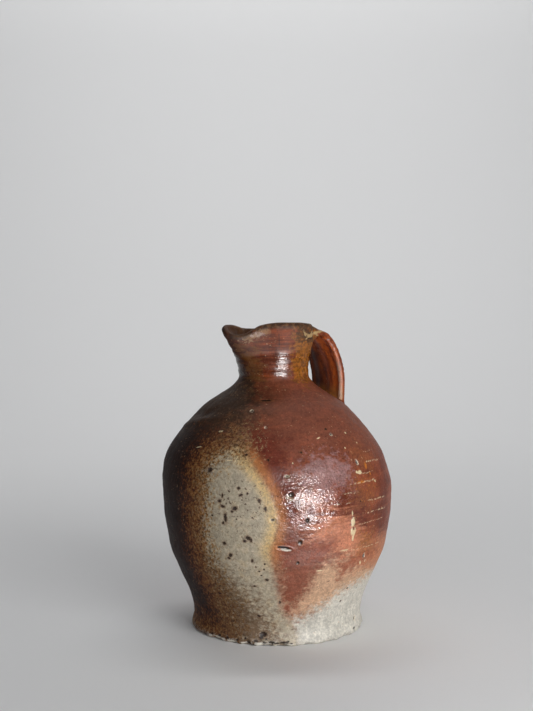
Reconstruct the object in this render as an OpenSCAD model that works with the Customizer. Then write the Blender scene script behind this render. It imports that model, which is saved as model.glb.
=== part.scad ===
// Wheel-thrown stoneware jug, fired in one piece: a swelling body on a flat
// foot, a short flared neck, a lip pinched into a pouring beak, and a strap
// handle pulled by hand and pressed on under the lip and on the shoulder.
// The origin is the centre of the underside. +Z is up, the handle stands on
// +X and the beak points along -X. All lengths are millimetres.

/* [Body] */
// Height from the table to the highest point of the rim
height = 220.5; // [214:0.5:250]
// Diameter of the foot just above the table
foot_d = 126; // [112:1:136]
// Radius of the worn edge round the underside
foot_round = 1.6; // [1:0.1:5]
// Diameter of the waist that sets the foot off from the body
waist_d = 122; // [108:1:130]
// Height of the waist
waist_h = 9; // [7:0.5:16]
// Diameter of the lower wall
hip_d = 158; // [146:1:164]
// Height at which the lower wall is measured
hip_h = 62; // [52:1:70]
// Greatest diameter of the body
belly_d = 167; // [162:1:190]
// Height of the greatest diameter
belly_h = 99; // [90:1:106]
// Diameter of the shoulder
shoulder_d = 158; // [146:1:162]
// Height at which the shoulder is measured
shoulder_h = 125; // [118:1:132]
// Diameter where the shoulder runs up to the neck
collar_d = 107.5; // [96:0.5:116]
// Height of that place
collar_h = 158; // [152:1:163]
// Diameter of the neck at its narrowest
neck_d = 50.5; // [46:0.5:57]
// Height of the narrowest part of the neck
neck_h = 182; // [178:1:188]
// Diameter over the lip, away from the beak
lip_d = 60; // [58:1:72]
// Thickness of the thrown wall
wall = 6; // [4:0.25:8]
// Thickness of the clay under the belly
floor_t = 9; // [6:0.5:14]
// Radius of the inside corner between wall and floor
floor_round = 20; // [10:1:28]

/* [Beak] */
// Reach of the beak from the middle of the neck
beak_reach = 43.5; // [38:0.5:50]
// Width of the beak at half its reach
beak_w = 28; // [22:1:32]
// Direction of the beak, turned from the line through the handle
beak_turn = 0; // [-20:1:20]
// How far the pouring edge hangs below the rim
beak_drop = 7; // [2:0.5:9]
// Direction in which it hangs lowest, turned from the beak
droop_turn = 14; // [-20:1:20]
// How far the rim stands up on the other side of the beak
beak_lift = 1.5; // [0:0.1:3]
// How far the lip is pinched in beside the beak
pinch = 1.8; // [0:0.1:3]
// How much thinner the clay is drawn out at the beak
beak_thin = 1.8; // [0:0.1:2]

/* [Handle] */
// Width of the strap
strap_w = 35.5; // [24:0.5:38]
// Thickness of the strap
strap_t = 6.5; // [5.5:0.25:9]
// Reach of the strap's outer face from the middle of the jug
handle_reach = 52.5; // [49:0.5:60]
// Height at which the strap stands farthest out
elbow_h = 175; // [172:1:182]
// How far below the rim the strap's outer face leaves the lip
handle_drop = 3.25; // [3:0.25:9]
// How far the strap draws in from its elbow to the shoulder
handle_tuck = 1; // [0:0.25:3]
// How sharply the strap bends over at the top, 1 for a quarter of an ellipse
handle_bend = 1.12; // [0.9:0.02:1.3]
// How much wider the strap is where it leaves the neck
throat_spread = 5; // [0:0.5:9]
// How much thicker its underside is there
throat_thick = 5; // [0:0.25:7]
// How much wider the strap is where it is pressed on the shoulder
heel_spread = 3; // [0:0.5:9]
// How much thicker each face is there
heel_thick = 1; // [0:0.25:4]
// Length over which an end of the strap spreads
root_l = 12; // [5:0.5:16]
// Number of finger grooves along each face of the strap
grooves = 3; // [1:2:3]
// Depth of the finger grooves
groove = 0.8; // [0:0.1:1.2]

/* [Marks of the making] */
// How far the neck sits off the middle of the body
lean = 3.2; // [0:0.2:5]
// Compass direction of that lean
lean_way = 143; // [0:1:359]
// How far the rim rises and falls round the mouth
rim_wave = 2.6; // [0:0.1:4]
// Direction in which the rim is highest, turned from the beak
wave_turn = 75; // [40:1:140]
// Depth of the throwing rings on the neck
neck_ring = 0.15; // [0:0.05:0.4]
// Spacing of the throwing rings on the neck
neck_ring_step = 7; // [6:0.5:9]
// Depth of the broad throwing rings on the body
body_ring = 0.2; // [0:0.05:0.5]
// Spacing of the broad throwing rings on the body
body_ring_step = 23; // [20:1:34]

/* [Hidden] */
clay = "#8b4a33";

// Points round the jug, and across each face of the strap
around = 60;
across = 13;
// Rings up the foot edge, the body and the neck, over the lip, down the
// inside and round the corner to the floor
foot_rings = 3;
body_rings = 30;
neck_rings = 18;
lip_rings = 6;
inside_rings = 22;
corner_rings = 5;
// Stations along the curved top of the strap and along its straight part
strap_top_steps = 16;
strap_low_steps = 9;

// 0 below a, 1 above b, and a smooth rise between them
function rise(v, a, b) =
    let (t = max(0, min(1, (v - a) / (b - a))))
    t * t * (3 - 2 * t);

// A bell of height 1 at v = 0 that falls off over the width s
function bell(v, s) = exp(-(v / s) * (v / s));

// The turn from direction b to direction a, from -180 to 180 degrees
function turn(a, b) = (a - b + 540) % 360 - 180;

function unit(v) = v / norm(v);

directions = [for (i = [0:around - 1]) 360 * i / around];

beak_way = 180 + beak_turn;
beak_pull = beak_reach - lip_d / 2;
// Half the angle that the beak takes up, seen from the middle of the neck
beak_angle = 2 * atan(beak_w / 2 / (beak_reach + lip_d / 2));

// How far the rim stands above its middle height, at b degrees from the beak
function wave(b) =
    rim_wave * cos(b - wave_turn)
    - beak_drop * bell(b - droop_turn, 0.8 * beak_angle)
    + beak_lift * bell(b + beak_angle, beak_angle);

// Where the rounded edge of the lip begins on the outside, before the wave
rim_h = height - wall / 2 - max([for (a = directions) wave(turn(a, beak_way))]);

// The half profile of the outside: height and radius at each named place
stations = [
    [0, foot_d / 2],
    [waist_h, waist_d / 2],
    [hip_h, hip_d / 2],
    [belly_h, belly_d / 2],
    [shoulder_h, shoulder_d / 2],
    [collar_h, collar_d / 2],
    [neck_h, neck_d / 2],
    [rim_h, lip_d / 2]
];
last = len(stations) - 1;
// The profile stands upright at its ends, waist, belly and narrow neck
upright = [0, 1, 3, 6, last];

// Slope of the profile between two neighbouring stations
function chord(i) =
    (stations[i + 1][1] - stations[i][1]) / (stations[i + 1][0] - stations[i][0]);

// Slope at a station: the parabola through it and its two neighbours
function slope(i) =
    len(search(i, upright)) > 0 ? 0
    : let (low = stations[i][0] - stations[i - 1][0], high = stations[i + 1][0] - stations[i][0])
    (high * chord(i - 1) + low * chord(i)) / (low + high);

slopes = [for (i = [0:last]) slope(i)];

// Radius of the profile at height z, a smooth curve through the stations
function plain_r(z, i = 0) =
    i < last - 1 && z > stations[i + 1][0] ? plain_r(z, i + 1)
    : let (
        step = stations[i + 1][0] - stations[i][0],
        t = (z - stations[i][0]) / step
    )
    stations[i][1] * (1 + 2 * t) * (1 - t) * (1 - t)
    + slopes[i] * step * t * (1 - t) * (1 - t)
    + stations[i + 1][1] * t * t * (3 - 2 * t)
    - slopes[i + 1] * step * t * t * (1 - t);

// Height of the outside at distance r from the middle, on the shoulder
function height_at(r, low = shoulder_h, high = neck_h, n = 20) =
    let (half = (low + high) / 2)
    n == 0 ? half
    : plain_r(half) > r ? height_at(r, half, high, n - 1)
    : height_at(r, low, half, n - 1);

// Relief of the throwing rings at height z
function rings(z) =
    neck_ring * sin(360 * (z - neck_h) / neck_ring_step) * rise(z, collar_h, neck_h)
    + body_ring * sin(360 * (z - belly_h) / body_ring_step)
    * rise(z, waist_h, hip_h) * (1 - rise(z, shoulder_h, collar_h));

// The middle of the jug at height z: shoulder and neck sit off centre
neck_foot = (collar_h + neck_h) / 2;
function middle(z) =
    let (share = 0.6 * rise(z, belly_h, shoulder_h) + 0.4 * rise(z, neck_foot, 2 * neck_h - neck_foot))
    lean * share * [cos(lean_way), sin(lean_way)];

// How far the beak and the wave of the rim have taken hold at height z
function taken(z) = pow(max(0, min(1, (z - neck_h) / (rim_h - neck_h))), 1.3);

// A point of the outside, in direction a at height z of the plain profile.
// From the neck up, the beak is drawn out, its sides are pinched in, and the
// rim rises, falls and hangs at the pouring edge.
function skin(a, z) =
    let (
        b = turn(a, beak_way),
        drawn = beak_pull * bell(b, beak_angle) - pinch * bell(abs(b) - 2.2 * beak_angle, 0.6 * beak_angle),
        r = plain_r(z) + rings(z) + taken(z) * drawn,
        c = middle(z)
    )
    [c[0] + r * cos(a), c[1] + r * sin(a), z + taken(z) * wave(b)];

// Direction up along the outside, and direction out of the clay
function upward(a, z) = unit(skin(a, z + wall / 12) - skin(a, z - wall / 12));
function outward(a, z) = unit(cross(skin(a + 1, z) - skin(a - 1, z), upward(a, z)));

// Thickness of the wall there: the beak is drawn out thinner
function wall_at(a, z) = wall - beak_thin * taken(z) * bell(turn(a, beak_way), 1.5 * beak_angle);

// A point of the inside, one wall in from the outside
function hollow(a, z) = skin(a, z) - wall_at(a, z) * outward(a, z);

// A point of the rounded edge of the lip, t degrees over from the outside
function lip_edge(a, t) =
    let (n = outward(a, rim_h), u = upward(a, rim_h), half = wall_at(a, rim_h) / 2)
    skin(a, rim_h) + half * ((cos(t) - 1) * n + sin(t) * u);

// The inside wall ends here, and a round corner leads down to the floor
corner_h = floor_t + floor_round;
function corner(a, t) =
    let (
        top = hollow(a, corner_h),
        r = norm([top[0], top[1]]) - floor_round * (1 - cos(t))
    )
    [r * cos(a), r * sin(a), top[2] - (top[2] - floor_t) * sin(t)];

// The cap over a ring of n points: one flat face, or, where both ends of the
// solid are curved, narrow faces across it from side to side
function flat_cap(n) = [[for (i = [0:n - 1]) i]];
function curved_cap(n) =
    [
        for (i = [0:n / 2 - 1])
            let (j = n - i)
            each i == 0 ? [[0, 1, n - 1]]
            : i == n / 2 - 1 ? [[i, i + 1, i + 2]]
            : [[i, i + 1, j - 1], [i, j - 1, j]]
    ];

// A solid that runs through a list of rings of points. Each ring is listed
// anticlockwise as seen from the ring that follows it.
module loft(rings, curved = false) {
    n = len(rings[0]);
    top = (len(rings) - 1) * n;
    cap = curved ? curved_cap(n) : flat_cap(n);
    polyhedron(
        points = [for (ring = rings) each ring],
        faces = concat(
            cap,
            [
                for (k = [0:n:top - n])
                    for (i = [0:n - 1])
                        let (j = (i + 1) % n)
                        each [[k + i, k + n + j, k + j], [k + i, k + n + i, k + n + j]]
            ],
            [for (face = cap) [for (i = [len(face) - 1:-1:0]) top + face[i]]]
        ),
        convexity = 8
    );
}

// Foot edge, wall, lip, inside and floor in one skin
module vessel() {
    edge_r = plain_r(foot_round) - foot_round;
    foot_edge = [
        for (t = [0:90 / foot_rings:90])
            [
                for (a = directions)
                    let (r = edge_r + foot_round * sin(t))
                    [r * cos(a), r * sin(a), foot_round * (1 - cos(t))]
            ]
    ];
    body = [
        for (k = [1:body_rings])
            let (z = foot_round + (neck_foot - foot_round) * k / body_rings)
            [for (a = directions) skin(a, z)]
    ];
    neck = [
        for (k = [1:neck_rings])
            let (z = neck_foot + (rim_h - neck_foot) * k / neck_rings)
            [for (a = directions) skin(a, z)]
    ];
    lip = [
        for (k = [1:lip_rings - 1])
            [for (a = directions) lip_edge(a, 180 * k / lip_rings)]
    ];
    inside = [
        for (k = [0:inside_rings])
            let (z = rim_h - (rim_h - corner_h) * k / inside_rings)
            [for (a = directions) hollow(a, z)]
    ];
    bottom = [
        for (k = [1:corner_rings])
            [for (a = directions) corner(a, 90 * k / corner_rings)]
    ];
    loft(concat(foot_edge, body, neck, lip, inside, bottom));
}

// The strap starts in the middle of the lip's wall and ends as deep in the
// shoulder. These give both seats across the strap, at y from its middle.
neck_c = middle(rim_h);
seat_r = lip_d / 2 - wall / 2;
function neck_seat(y) = neck_c[0] + sqrt(max(0, seat_r * seat_r - pow(y - neck_c[1], 2)));
shoulder_c = middle(collar_h);
function shoulder_seat(x, y) = height_at(norm([x, y] - shoulder_c)) - wall / 2;

// Middle line of the strap as [x, z]: an arch over the top, then a nearly
// straight run down to the shoulder
root_x = neck_seat(0);
root_z = height - handle_drop - strap_t / 2;
elbow_x = handle_reach - strap_t / 2;
end_x = elbow_x - handle_tuck;
end_z = shoulder_seat(end_x, 0);
line = concat(
    [
        for (k = [0:strap_top_steps - 1])
            let (t = 90 * k / strap_top_steps)
            [
                root_x + (elbow_x - root_x) * pow(sin(t), handle_bend),
                elbow_h + (root_z - elbow_h) * pow(cos(t), handle_bend)
            ]
    ],
    [
        for (k = [0:strap_low_steps])
            let (s = k / strap_low_steps)
            [elbow_x - handle_tuck * s * s, elbow_h + (end_z - elbow_h) * s]
    ]
);
end = len(line) - 1;

// Length of the middle line up to each of its points
lengths = [
    for (k = 0, l = 0; k <= end; k = k + 1, l = l + (k <= end ? norm(line[k] - line[k - 1]) : 0)) l
];

// Half the thickness of the strap at share u of its half width: grooves run
// along it, and both edges are rounded
function half_t(u) =
    sqrt(max(0, 1 - pow(abs(u), 5))) * (strap_t / 2 - groove * (1 + cos(180 * grooves * u)) / 2);

// Outline of the strap as [share of the half width, half thickness]
strap_outline = concat(
    [for (i = [0:across - 1]) let (u = cos(180 * i / (across - 1))) [u, half_t(u)]],
    [for (i = [across - 2:-1:1]) let (u = cos(180 * i / (across - 1))) [u, -half_t(u)]]
);

// One ring of the strap. Both ends spread out and follow their seats.
function strap_ring(k) =
    let (
        way = unit(line[min(end, k + 1)] - line[max(0, k - 1)]),
        to_neck = 1 - rise(lengths[k], 0, root_l),
        to_end = 1 - rise(lengths[end] - lengths[k], 0, root_l),
        spread = throat_spread * to_neck * to_neck + heel_spread * to_end * to_end
    )
    [
        for (p = strap_outline)
            let (
                y = p[0] * (strap_w + spread) / 2,
                more = (p[1] < 0 ? throat_thick * to_neck * to_neck : 0) + heel_thick * to_end * to_end,
                v = p[1] * (1 + more * 2 / strap_t),
                x = line[k][0] - v * way[1],
                z = line[k][1] + v * way[0]
            )
            [
                x + (neck_seat(y) - root_x) * to_neck,
                y,
                z + (shoulder_seat(x, y) - end_z) * to_end
            ]
    ];

module handle() {
    loft([for (k = [0:end]) strap_ring(k)], curved = true);
}

// The whole jug, one fired piece
module jug() {
    color(clay)
    union() {
        vessel();
        handle();
    }
}

jug();
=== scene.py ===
# %% [markdown]
# # A wood-fired stoneware jug
# This notebook dresses a jug that was thrown on a wheel, pinched into a beak
# at the lip, given a pulled strap handle and fired once, in a kiln whose
# flames coloured one side brown-red and left another side bare and grey.
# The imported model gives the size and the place. Everything here is in the
# same frame: the middle of the underside is the origin, +Z is up, the handle
# stands on +X and the beak points along -X.

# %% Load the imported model
import math

import bmesh
import bpy
import numpy as np
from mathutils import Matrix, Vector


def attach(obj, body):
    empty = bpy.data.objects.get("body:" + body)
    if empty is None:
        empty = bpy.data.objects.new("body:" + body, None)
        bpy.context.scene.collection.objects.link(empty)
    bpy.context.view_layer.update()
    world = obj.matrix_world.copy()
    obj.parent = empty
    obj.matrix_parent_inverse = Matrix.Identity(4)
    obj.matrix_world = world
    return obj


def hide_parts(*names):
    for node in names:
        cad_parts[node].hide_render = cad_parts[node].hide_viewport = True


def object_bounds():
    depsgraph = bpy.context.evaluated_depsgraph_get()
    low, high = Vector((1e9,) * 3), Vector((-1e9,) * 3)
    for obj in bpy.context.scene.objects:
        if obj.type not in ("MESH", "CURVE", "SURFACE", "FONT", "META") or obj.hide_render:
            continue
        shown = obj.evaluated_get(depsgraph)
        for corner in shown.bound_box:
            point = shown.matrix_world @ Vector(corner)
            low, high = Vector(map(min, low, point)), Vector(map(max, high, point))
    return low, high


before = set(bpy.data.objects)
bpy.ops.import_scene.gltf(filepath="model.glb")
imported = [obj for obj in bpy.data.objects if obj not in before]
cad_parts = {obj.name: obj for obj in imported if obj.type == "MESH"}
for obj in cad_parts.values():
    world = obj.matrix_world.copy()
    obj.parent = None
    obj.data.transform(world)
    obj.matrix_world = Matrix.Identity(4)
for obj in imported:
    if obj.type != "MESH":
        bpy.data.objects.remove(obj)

cad_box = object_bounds()
print("CAD box in metres:", cad_box)

# %% [markdown]
# ## The form
# A thrown pot is described by its half profile, so the heights and widths
# below are the ones of the CAD source, in millimetres. A smooth curve runs
# through them. The same few formulas then make a far finer skin than the CAD
# solid has, because pits, chips and throwing rings need small faces.

# %% Sizes of the jug, in millimetres
HEIGHT = 220.5
FOOT_ROUND = 1.6
WALL = 6.0
FLOOR = 9.0
FLOOR_ROUND = 20.0
FOOT, WAIST, HIP = (0.0, 63.0), (9.0, 61.0), (62.0, 79.0)
BELLY, SHOULDER, COLLAR = (99.0, 83.5), (125.0, 79.0), (158.0, 53.75)
NECK, LIP_R = (182.0, 25.25), 30.0
BEAK_WAY, BEAK_REACH, BEAK_W = 180.0, 43.5, 28.0
BEAK_DROP, DROOP_TURN, BEAK_LIFT = 7.0, 14.0, 1.5
PINCH, BEAK_THIN = 1.8, 1.8
TAKE_HOLD = 1.3
RIM_WAVE, WAVE_TURN = 2.6, 75.0
LEAN, LEAN_WAY, LEAN_LOW = 3.2, 143.0, 0.6
NECK_RING, NECK_RING_STEP = 0.15, 7.0
BODY_RING, BODY_RING_STEP = 0.2, 23.0

# Places and widths beside the beak, in beak angles
DROOP_WIDE, PINCH_AT, PINCH_WIDE, THIN_WIDE = 0.8, 2.2, 0.6, 1.5


def rise(v, a, b):
    """0 below a, 1 above b, and a smooth rise between."""
    t = np.clip((v - a) / (b - a), 0.0, 1.0)
    return t * t * (3.0 - 2.0 * t)


def bell(v, s):
    """A bell of height 1 at 0 that falls off over the width s."""
    return np.exp(-((v / s) ** 2))


def turn(a, b):
    """The turn from direction b to direction a, from -180 to 180 degrees."""
    return (a - b + 540.0) % 360.0 - 180.0


# %% The profile curve
BEAK_ANGLE = 2 * np.degrees(np.arctan(BEAK_W / 2 / (BEAK_REACH + LIP_R)))


def wave(b):
    """How far the rim stands above its middle height, b degrees from the beak."""
    return (RIM_WAVE * np.cos(np.radians(b - WAVE_TURN))
            - BEAK_DROP * bell(b - DROOP_TURN, DROOP_WIDE * BEAK_ANGLE)
            + BEAK_LIFT * bell(b + BEAK_ANGLE, BEAK_ANGLE))


RIM_H = HEIGHT - WALL / 2 - wave(turn(np.arange(0, 360, 6.0), BEAK_WAY)).max()
STATION_Z, STATION_R = np.array([FOOT, WAIST, HIP, BELLY, SHOULDER, COLLAR, NECK, (RIM_H, LIP_R)]).T
UPRIGHT = (0, 1, 3, 6, 7)
steps = np.diff(STATION_Z)
chords = np.diff(STATION_R) / steps
SLOPES = np.zeros(len(STATION_Z))
for i in range(1, len(STATION_Z) - 1):
    if i not in UPRIGHT:
        SLOPES[i] = (steps[i] * chords[i - 1] + steps[i - 1] * chords[i]) / (steps[i] + steps[i - 1])


def plain_r(z):
    """Radius of the profile at height z."""
    k = np.clip(np.searchsorted(STATION_Z, z, side="right") - 1, 0, len(STATION_Z) - 2)
    step = STATION_Z[k + 1] - STATION_Z[k]
    t = (z - STATION_Z[k]) / step
    return (STATION_R[k] * (1 + 2 * t) * (1 - t) ** 2 + SLOPES[k] * step * t * (1 - t) ** 2
            + STATION_R[k + 1] * t * t * (3 - 2 * t) - SLOPES[k + 1] * step * t * t * (1 - t))


print(f"rim begins at {RIM_H:.2f} mm; beak takes {BEAK_ANGLE:.1f} degrees each way")


# %% The skin of the jug
def rings(z):
    """Shallow throwing rings."""
    neck = NECK_RING * np.sin(2 * np.pi * (z - NECK[0]) / NECK_RING_STEP) * rise(z, COLLAR[0], NECK[0])
    body = BODY_RING * np.sin(2 * np.pi * (z - BELLY[0]) / BODY_RING_STEP)
    return neck + body * rise(z, WAIST[0], HIP[0]) * (1 - rise(z, SHOULDER[0], COLLAR[0]))


NECK_FOOT = (COLLAR[0] + NECK[0]) / 2


def middle(z):
    """Shoulder and neck sit a little off the middle of the body."""
    low, high = rise(z, BELLY[0], SHOULDER[0]), rise(z, NECK_FOOT, 2 * NECK[0] - NECK_FOOT)
    share = LEAN_LOW * low + (1 - LEAN_LOW) * high
    way = math.radians(LEAN_WAY)
    return LEAN * share * math.cos(way), LEAN * share * math.sin(way)


def taken(z):
    """How far the beak and the wave of the rim have taken hold at height z."""
    return np.clip((z - NECK[0]) / (RIM_H - NECK[0]), 0.0, 1.0) ** TAKE_HOLD


def drawn(a):
    """How far the beak is pulled out, and the pinch on both sides of it."""
    b = turn(a, BEAK_WAY)
    pinched = bell(np.abs(b) - PINCH_AT * BEAK_ANGLE, PINCH_WIDE * BEAK_ANGLE)
    return (BEAK_REACH - LIP_R) * bell(b, BEAK_ANGLE) - PINCH * pinched


def skin(a, z):
    """A point of the outside in direction a, at height z of the plain profile."""
    r = plain_r(z) + rings(z) + taken(z) * drawn(a)
    cx, cy = middle(z)
    t = np.radians(a)
    up = z + taken(z) * wave(turn(a, BEAK_WAY))
    return np.stack(np.broadcast_arrays(cx + r * np.cos(t), cy + r * np.sin(t), up), -1)


def unit(v):
    """A vector of length 1 in the same direction."""
    return v / np.linalg.norm(v, axis=-1, keepdims=True)


NUDGE_A, NUDGE_Z = 1.0, WALL / 12


def upward(a, z):
    """The way up along the skin."""
    return unit(skin(a, z + NUDGE_Z) - skin(a, z - NUDGE_Z))


def outward(a, z):
    """The way straight out of the skin."""
    return unit(np.cross(skin(a + NUDGE_A, z) - skin(a - NUDGE_A, z), upward(a, z)))


def wall_at(a, z):
    """The clay is drawn out thinner at the beak."""
    return (WALL - BEAK_THIN * taken(z) * bell(turn(a, BEAK_WAY), THIN_WIDE * BEAK_ANGLE))[..., None]


def hollow(a, z):
    """A point of the inside, one wall behind the skin."""
    return skin(a, z) - wall_at(a, z) * outward(a, z)


# %% [markdown]
# ## One skin of rings
# A mesh that runs ring by ring up the outside, over the lip and down the
# inside is the simplest way to a closed pot with a real wall. The columns
# stand closer together on the side that is seen, where the marks of the fire
# are finest, and the rows are spaced evenly along the clay.

# %% Directions and rows
def running(steps):
    """The sum so far, from nought, of a row of steps."""
    return np.concatenate([[0], np.cumsum(steps)])


COLUMNS = 352
SEEN_SIDE, CROWDING = 233.0, 0.42
fine = np.linspace(0.0, 360.0, 3601)
crowd = 1 + CROWDING * np.cos(np.radians(fine - SEEN_SIDE))
so_far = running((crowd[1:] + crowd[:-1]) / 2)
DIRECTIONS = np.interp(np.arange(COLUMNS) / COLUMNS * so_far[-1], so_far, fine)


def even_rows(low, high, count):
    """Heights from low to high, evenly spaced along the clay."""
    z = np.linspace(low, high, 1200)
    along = running(np.hypot(np.diff(z), np.diff(plain_r(z))))
    return np.interp(np.linspace(0, along[-1], count), along, z)


FOOT_ROWS, BODY_ROWS, NECK_ROWS, LIP_ROWS, INSIDE_ROWS, CORNER_ROWS = 5, 148, 38, 9, 22, 4
INSIDE_CROWDING = 1.4
corner_h = FLOOR + FLOOR_ROUND
rows = []
edge_r = plain_r(FOOT_ROUND) - FOOT_ROUND
t = np.radians(DIRECTIONS)


def circle(r, z):
    """A ring of points round the middle of the underside."""
    return np.stack([r * np.cos(t), r * np.sin(t), z], -1)


for angle in np.radians(np.linspace(0, 90, FOOT_ROWS)):
    z = np.full(COLUMNS, FOOT_ROUND * (1 - math.cos(angle)))
    rows.append(circle(edge_r + FOOT_ROUND * math.sin(angle), z))
for z in even_rows(FOOT_ROUND, NECK_FOOT, BODY_ROWS)[1:]:
    rows.append(skin(DIRECTIONS, z))
for z in even_rows(NECK_FOOT, RIM_H, NECK_ROWS)[1:]:
    rows.append(skin(DIRECTIONS, z))
lip_out, lip_up = outward(DIRECTIONS, RIM_H), upward(DIRECTIONS, RIM_H)
half = wall_at(DIRECTIONS, RIM_H) / 2
for angle in np.radians(np.linspace(0, 180, LIP_ROWS + 1)[1:-1]):
    round_lip = (math.cos(angle) - 1) * lip_out + math.sin(angle) * lip_up
    rows.append(skin(DIRECTIONS, RIM_H) + half * round_lip)
for z in RIM_H - (RIM_H - corner_h) * np.linspace(0, 1, INSIDE_ROWS) ** INSIDE_CROWDING:
    rows.append(hollow(DIRECTIONS, z))
corner = hollow(DIRECTIONS, corner_h)
corner_r = np.hypot(corner[:, 0], corner[:, 1])
for angle in np.radians(np.linspace(0, 90, CORNER_ROWS + 1)[1:]):
    z = corner[:, 2] - (corner[:, 2] - FLOOR) * math.sin(angle)
    rows.append(circle(corner_r - FLOOR_ROUND * (1 - math.cos(angle)), z))
print("rings:", len(rows), "of", COLUMNS)


# %% Turn rings of points into a closed mesh
def stand(name, data):
    """A new object in the scene."""
    thing = bpy.data.objects.new(name, data)
    bpy.context.scene.collection.objects.link(thing)
    return thing


def loft(name, grid):
    """A closed mesh through rings of points, each listed anticlockwise as seen from the next."""
    count, n = grid.shape[:2]
    base = np.arange(n)
    after = (base + 1) % n
    quads = [np.stack([k * n + base, k * n + after, (k + 1) * n + after, (k + 1) * n + base], -1)
             for k in range(count - 1)]
    faces = [list(base[::-1])] + np.concatenate(quads).tolist() + [list(base + (count - 1) * n)]
    mesh = bpy.data.meshes.new(name)
    mesh.from_pydata((grid.reshape(-1, 3) / 1000.0).tolist(), [], faces)
    return stand(name, mesh)


jug = loft("stoneware_jug", np.array(rows))
print("vessel faces:", len(jug.data.polygons))

# %% [markdown]
# ## The strap handle
# A pulled strap is a flat band of clay with finger grooves along it. It is
# lofted from rings too. Each end widens and thickens where it was pressed
# on, and both ends reach into the vessel's wall, so that the two can be
# joined into one body of clay.

# %% Sizes of the strap, in millimetres
STRAP_W, STRAP_T = 35.5, 6.5
REACH, ELBOW_H, DROP, TUCK, BEND = 52.5, 175.0, 3.25, 1.0, 1.12
THROAT_SPREAD, THROAT_THICK, HEEL_SPREAD, HEEL_THICK, ROOT_L = 5.0, 5.0, 3.0, 1.0, 12.0
GROOVES, GROOVE, EDGE_ROUND = 3, 0.8, 5
ARCH_STEPS, STRAIGHT_STEPS, ACROSS = 44, 26, 41

seat_r = LIP_R - WALL / 2
neck_c = middle(RIM_H)
shoulder_c = middle(COLLAR[0])
shoulder_z = np.linspace(SHOULDER[0], NECK[0], 2000)
shoulder_r = plain_r(shoulder_z)


def neck_seat(y):
    """Where the strap meets the lip, as far as it lies out along +X."""
    return neck_c[0] + np.sqrt(np.clip(seat_r**2 - (y - neck_c[1]) ** 2, 0, None))


def shoulder_seat(x, y):
    """The height at which the strap meets the shoulder."""
    reach = np.hypot(x - shoulder_c[0], y - shoulder_c[1])
    return np.interp(-reach, -shoulder_r, shoulder_z) - WALL / 2


# %% The strap's middle line and rings
root_x, root_z = float(neck_seat(0.0)), HEIGHT - DROP - STRAP_T / 2
elbow_x = REACH - STRAP_T / 2
end_z = float(shoulder_seat(elbow_x - TUCK, 0.0))
arch = np.radians(90 * np.arange(ARCH_STEPS) / ARCH_STEPS)
share = np.arange(STRAIGHT_STEPS + 1) / STRAIGHT_STEPS
line = np.concatenate([
    np.stack([root_x + (elbow_x - root_x) * np.sin(arch) ** BEND,
              ELBOW_H + (root_z - ELBOW_H) * np.cos(arch) ** BEND], -1),
    np.stack([elbow_x - TUCK * share**2, ELBOW_H + (end_z - ELBOW_H) * share], -1),
])
ways = unit(np.gradient(line, axis=0))
lengths = running(np.hypot(*np.diff(line, axis=0).T))
u = np.cos(np.linspace(0, np.pi, ACROSS))
grooved = STRAP_T / 2 - GROOVE * (1 + np.cos(np.pi * GROOVES * u)) / 2
thick = np.sqrt(np.clip(1 - np.abs(u) ** EDGE_ROUND, 0, 1)) * grooved
outline_u = np.concatenate([u, u[-2:0:-1]])
outline_v = np.concatenate([thick, -thick[-2:0:-1]])
strap_rings = []
for k, (x0, z0) in enumerate(line):
    to_neck = 1 - rise(lengths[k], 0, ROOT_L)
    to_end = 1 - rise(lengths[-1] - lengths[k], 0, ROOT_L)
    y = outline_u * (STRAP_W + THROAT_SPREAD * to_neck**2 + HEEL_SPREAD * to_end**2) / 2
    more = np.where(outline_v < 0, THROAT_THICK * to_neck**2, 0) + HEEL_THICK * to_end**2
    v = outline_v * (1 + more * 2 / STRAP_T)
    x, z = x0 - v * ways[k, 1], z0 + v * ways[k, 0]
    strap_rings.append(np.stack([x + (neck_seat(y) - root_x) * to_neck, y,
                                 z + (shoulder_seat(x, y) - end_z) * to_end], -1))
strap = loft("strap", np.array(strap_rings))
print("strap length", round(float(lengths[-1]), 1), "mm")

# %% [markdown]
# ## Press the strap on
# On the real jug the potter presses both ends of the strap into the soft
# wall and smears the clay over the seam. A boolean union does the pressing.
# The smearing is done by letting every point near the seam settle towards
# the average of its neighbours, most of all right at the seam.

# %% Join the two
for piece, side in ((jug, "vessel_side"), (strap, "strap_side")):
    piece.data.materials.append(bpy.data.materials.new(side))
press = jug.modifiers.new("press_on", "BOOLEAN")
press.operation, press.object, press.solver = "UNION", strap, "MANIFOLD"
press.material_mode = "TRANSFER"
joined = bpy.data.meshes.new_from_object(jug.evaluated_get(bpy.context.evaluated_depsgraph_get()))
jug.modifiers.clear()
jug.data = joined
bpy.data.objects.remove(strap)

bm = bmesh.new()
bm.from_mesh(joined)
bmesh.ops.triangulate(bm, faces=[f for f in bm.faces if len(f.verts) > 4])
bm.verts.ensure_lookup_table()
seam = [v.index for v in bm.verts if len({f.material_index for f in v.link_faces}) > 1]
bm.to_mesh(joined)
bm.free()
print("joined faces:", len(joined.polygons), "points on the seam:", len(seam))


# %% Smear the clay over the seam
def read(items, what, width, kind=float):
    """One kind of number from all of a mesh's points or edges, a row for each."""
    flat = np.empty(len(items) * width, dtype=kind)
    items.foreach_get(what, flat)
    return flat.reshape(-1, width)


def settle(points, edges, weight, rounds):
    """Let points move towards the average of their neighbours, as far as their weight says."""
    one, two = edges[:, 0], edges[:, 1]
    count = len(points)
    near = np.bincount(one, minlength=count) + np.bincount(two, minlength=count)
    for _ in range(rounds):
        for c in range(3):
            total = np.bincount(one, points[two, c], count) + np.bincount(two, points[one, c], count)
            points[:, c] += weight * (total / near - points[:, c])
    return points


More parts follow.
